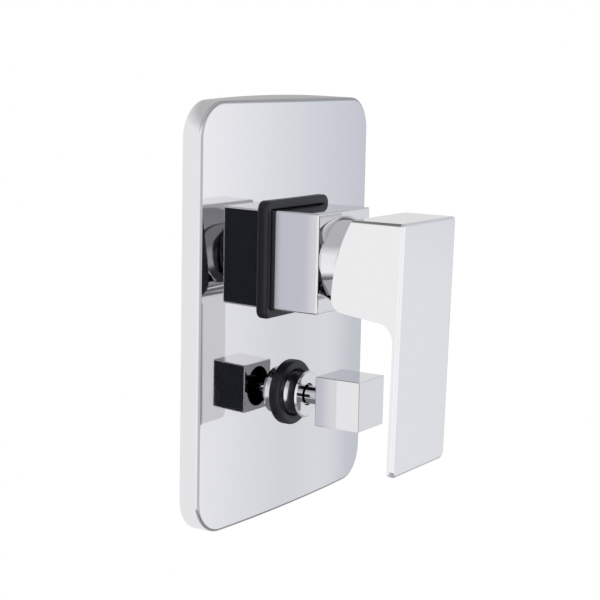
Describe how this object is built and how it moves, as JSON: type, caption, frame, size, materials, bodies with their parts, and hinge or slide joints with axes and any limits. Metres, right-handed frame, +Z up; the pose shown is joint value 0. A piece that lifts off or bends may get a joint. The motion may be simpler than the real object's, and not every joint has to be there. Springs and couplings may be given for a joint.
{
  "type": "concealed shower mixer",
  "caption": "Wall-mounted concealed shower mixer: crowned cover plate, square lever handle on a domed neck, push-pull diverter with a cube knob, and the valve body behind.",
  "frame": {"origin": "middle of the cover plate's back plane, on the finished wall", "axes": "+X right, +Y into the wall, +Z up"},
  "size_m": [0.1326, 0.1189, 0.1828],
  "materials": {
    "chrome": "polished",
    "brass": "cast and machined",
    "rubber": "satin",
    "foam": "matt closed cell",
    "white_plastic": "moulded",
    "grey_plastic": "moulded",
    "ceramic": "lapped",
    "steel": "plain"
  },
  "bodies": {
    "root": {"valve_body": "brass", "cartridge_base": "white_plastic", "cartridge_seals": "rubber", "fixed_disc": "ceramic", "cartridge_housing": "white_plastic", "cartridge_nut": "brass", "dome_cap": "chrome", "square_sleeve": "chrome", "sleeve_gasket": "rubber", "cover_plate": "chrome", "plate_foam_seal": "foam", "diverter_bush": "chrome", "diverter_seal": "rubber"},
    "rotor": {"cartridge_rotor": "white_plastic", "rotor_o_ring": "rubber", "pivot_pin": "steel"},
    "lever": {"lever_handle": "chrome", "cartridge_spindle": "brass", "handle_grub_screw": "steel", "screw_cover": "grey_plastic"},
    "flow_disc": {"moving_disc": "ceramic", "disc_carrier": "white_plastic"},
    "diverter": {"diverter_rod": "chrome", "rod_o_rings": "rubber", "plunger_disc": "brass", "plunger_washers": "rubber", "plunger_nut": "brass", "diverter_knob": "chrome", "knob_grub_screw": "steel"}
  },
  "joints": [
    {"name": "temperature_turn", "type": "hinge", "parent": "root", "child": "rotor", "pos_m": [0, -0.033, 0.0224], "axis": [0, -1, 0], "range_deg": [-45, 45]},
    {"name": "flow_lift", "type": "hinge", "parent": "rotor", "child": "lever", "pos_m": [0, -0.033, 0.0224], "axis": [-1, 0, 0], "range_deg": [0, 20]},
    {"name": "disc_slide", "type": "slide", "parent": "rotor", "child": "flow_disc", "axis": [0, 0, -1], "range_m": [0, 0.0028]},
    {"name": "diverter_slide", "type": "slide", "parent": "root", "child": "diverter", "axis": [0, 1, 0], "range_m": [0, 0.01]}
  ],
  "couplings": [
    {"joint": "disc_slide", "follows": "flow_lift", "m_per_rad": 0.008}
  ]
}
